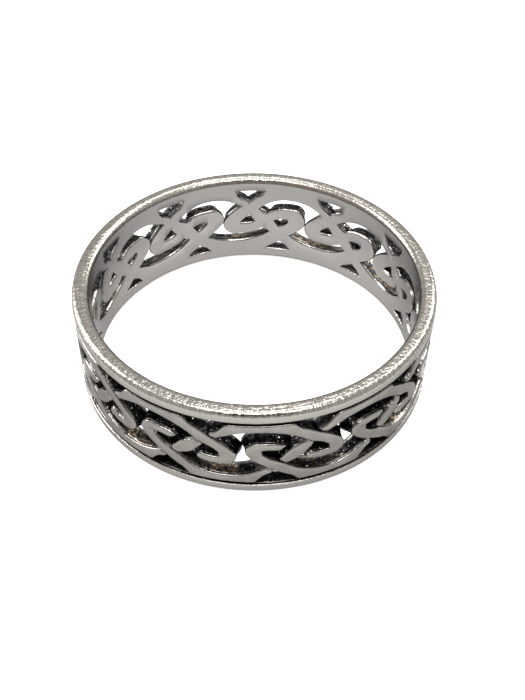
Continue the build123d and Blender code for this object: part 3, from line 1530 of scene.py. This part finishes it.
        # painted glints: bright specks in the black, rarer the deeper they lie
        rare = board.follow(board.ease(spot.depth, *self.shallow), *self.painted_glint_rarity)
        full = board.maths("ADD", rare, self.painted_glint_soft)
        painted_glints = board.ease(board.noise(spot.coords, *self.painted_glints), rare, full)
        return board.blend(painted_glints, colour, self.painted_glint)

    def roughness(self, spot: Surface) -> Socket:
        """Satin where it is bare, and duller where it is black."""
        bare = spot.board.follow(spot.grain, *self.rough_bare)
        return spot.board.follow(spot.cover, spot.board.maths("SUBTRACT", self.rough_dark, bare), bare)

    def relief(self, spot: Surface) -> Socket:
        """Height of the scratches, the rims' ripple, the pits and the grain, in millimetres.

        Args:
            spot: What is known of the surface.

        Returns:
            The height.
        """
        board = spot.board
        crest = board.times(spot.on_rim, board.ease(spot.depth, *self.crest_depth))
        flat_rim = board.follow(crest, -self.crest_polish, spot.on_rim)
        marks = board.times(spot.scratches, self.scratch_depth, flat_rim)
        near = board.follow(board.ease(board.split(spot.coords)[1], *self.near_side), *self.near_ripple)
        ripple = board.times(board.noise(spot.coords, *self.ripples), self.ripple_depth)
        marks = board.follow(board.times(crest, near), ripple, marks)
        pits = board.noise(spot.coords, *self.pits)
        off_face = board.ease(spot.depth, *self.off_face)
        off_hole = board.ease(spot.outward, *self.off_hole)
        marks = board.follow(board.times(off_face, off_hole), board.times(pits, self.edge_depth), marks)
        marks = board.follow(spot.cover, board.times(pits, self.cast_depth), marks)
        return board.follow(spot.grain, self.grain_depth, marks)

    def material(self, groups: ShaderGroups) -> bpy.types.Material:
        """Builds the material.

        Args:
            groups: The shader groups.

        Returns:
            The finished material.
        """
        material = bpy.data.materials.new(self.name)
        material.use_nodes = True
        board = NodeBoard(material.node_tree)
        spot = self.survey(board, groups)
        shader = material.node_tree.nodes["Principled BSDF"]
        shader.inputs["Metallic"].default_value = 1.0
        shader.inputs["Specular Tint"].default_value = self.grazing
        colour = board.blend(spot.cover, self.bare_colour(spot), self.dark_colour(spot))
        board.feed(shader.inputs["Base Color"], colour)
        board.feed(shader.inputs["Roughness"], self.roughness(spot))
        bump = board.node("ShaderNodeBump")
        bump.inputs["Distance"].default_value = METRES
        board.feed(bump.inputs["Height"], self.relief(spot))
        board.feed(shader.inputs["Normal"], bump.outputs["Normal"])
        return material


def grey(brightness: float) -> Colour:
    """Colour without a hue."""
    return brightness, brightness, brightness, 1.0


@dataclass(frozen=True)
class PaleGround:
    """Plain pale floor that glows a little, so that shadows stay faint."""

    colour: Colour = grey(0.60)
    glow: float = 0.72
    radius: float = 1.5  # metres
    below: float = 0.01  # millimetres under the ring
    corners: int = 64
    roughness: float = 0.9
    sheen: float = 0.1

    def build(self) -> bpy.types.Object:
        """Round sheet just under the ring.

        Returns:
            The floor.
        """
        shape = bmesh.new()
        bmesh.ops.create_circle(shape, cap_ends=True, segments=self.corners, radius=self.radius)
        bmesh.ops.translate(shape, vec=(0, 0, -self.below * METRES), verts=shape.verts[:])
        mesh = bpy.data.meshes.new("floor")
        shape.to_mesh(mesh)
        shape.free()
        material = bpy.data.materials.new("pale_floor")
        material.use_nodes = True
        shader = material.node_tree.nodes["Principled BSDF"]
        shader.inputs["Base Color"].default_value = self.colour
        shader.inputs["Emission Color"].default_value = grey(1.0)
        shader.inputs["Emission Strength"].default_value = self.glow
        shader.inputs["Roughness"].default_value = self.roughness
        shader.inputs["Specular IOR Level"].default_value = self.sheen
        mesh.materials.append(material)
        return show("floor", mesh)


# ---- studio ----


@dataclass(frozen=True)
class PhotoCamera:
    """Camera at the photograph's viewing angle, on the -Y side, found from the ring's outlines."""

    elevation_deg: float = 45.58
    roll_deg: float = 0.90
    distance: float = 56.03
    aside: float = -0.466
    above: float = 1.833
    lens: float = 50.18
    nearest: float = 2.0  # nothing nearer than this is drawn
    ring_middle: float = 3.1

    def build(self) -> None:
        """Adds the camera and makes it the scene's own."""
        elevation, roll = math.radians(self.elevation_deg), math.radians(self.roll_deg)
        forward = Vector((0.0, math.cos(elevation), -math.sin(elevation)))
        level = Vector((1.0, 0.0, 0.0))
        rise = level.cross(forward)
        right = math.cos(roll) * level + math.sin(roll) * rise
        top = -math.sin(roll) * level + math.cos(roll) * rise
        middle = Vector((0.0, 0.0, self.ring_middle))
        place = middle - forward * self.distance - right * self.aside - top * self.above
        data = bpy.data.cameras.new("camera")
        data.lens = self.lens
        data.clip_start = self.nearest * METRES
        camera = show("camera", data)
        turn = Matrix((right, top, -forward)).transposed().to_4x4()
        camera.matrix_world = Matrix.Translation(place * METRES) @ turn
        bpy.context.scene.camera = camera


class SoftBox(NamedTuple):
    """A rectangular light aimed at the ring."""

    name: str
    azimuth_deg: float  # from +X towards +Y, as seen from the ring
    elevation_deg: float
    distance: float  # millimetres
    width: float
    height: float
    brightness: float


@dataclass(frozen=True)
class Studio:
    """Even white surroundings with a few soft boxes."""

    surround: float = 1.35
    front: float = 0.08  # brightness where the photographer stands
    front_elevation_deg: float = 44.0
    front_spread_deg: tuple[float, float] = (9.0, 23.0)
    boxes: tuple[SoftBox, ...] = (
        SoftBox("back_box", 82, 62, 120, 34, 44, 11.0),
        SoftBox("front_box", -90, 77, 120, 90, 46, 11.0),
        SoftBox("left_box", 158, 35, 140, 56, 120, 13.0),
        SoftBox("right_box", 42, 40, 140, 38, 84, 16.0),
    )

    def surroundings(self) -> bpy.types.World:
        """White all round, and darker towards the photographer's side.

        Returns:
            The world.
        """
        world = bpy.data.worlds.new("studio")
        world.use_nodes = True
        board = NodeBoard(world.node_tree)
        height = math.radians(self.front_elevation_deg)
        front = (0.0, -math.cos(height), math.sin(height))
        towards = board.vectors("DOT_PRODUCT", board.coords("Generated"), front)
        near, far = (math.cos(math.radians(angle)) for angle in self.front_spread_deg)
        share = board.ease(towards, far, near)
        background = world.node_tree.nodes["Background"]
        colour = board.blend(share, grey(self.surround), grey(self.front))
        board.feed(background.inputs["Color"], colour)
        return world

    def build(self) -> None:
        """Adds the lights and the surroundings, and shows colours as they are."""
        bpy.context.scene.world = self.surroundings()
        for box in self.boxes:
            azimuth, elevation = math.radians(box.azimuth_deg), math.radians(box.elevation_deg)
            away = Vector((
                math.cos(elevation) * math.cos(azimuth),
                math.cos(elevation) * math.sin(azimuth),
                math.sin(elevation),
            ))
            data = bpy.data.lights.new(box.name, "AREA")
            data.shape = "RECTANGLE"
            data.size, data.size_y = box.width * METRES, box.height * METRES
            data.energy = box.brightness * math.pi * data.size * data.size_y
            light = show(box.name, data)
            light.location = away * box.distance * METRES
            light.rotation_euler = away.to_track_quat("Z", "Y").to_euler()
        bpy.context.scene.view_settings.view_transform = "Standard"


def main() -> None:
    """Builds the ring and its setting."""
    logging.basicConfig(level=logging.INFO, format="%(name)s: %(message)s")
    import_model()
    ring = KnotBand().build()
    ring.data.materials.append(BlackenedSilver().material(ShaderGroups()))
    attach(ring, "root")
    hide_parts("knot_band")
    floor = PaleGround().build()
    Studio().build()
    PhotoCamera().build()


if __name__ == "__main__":
    main()
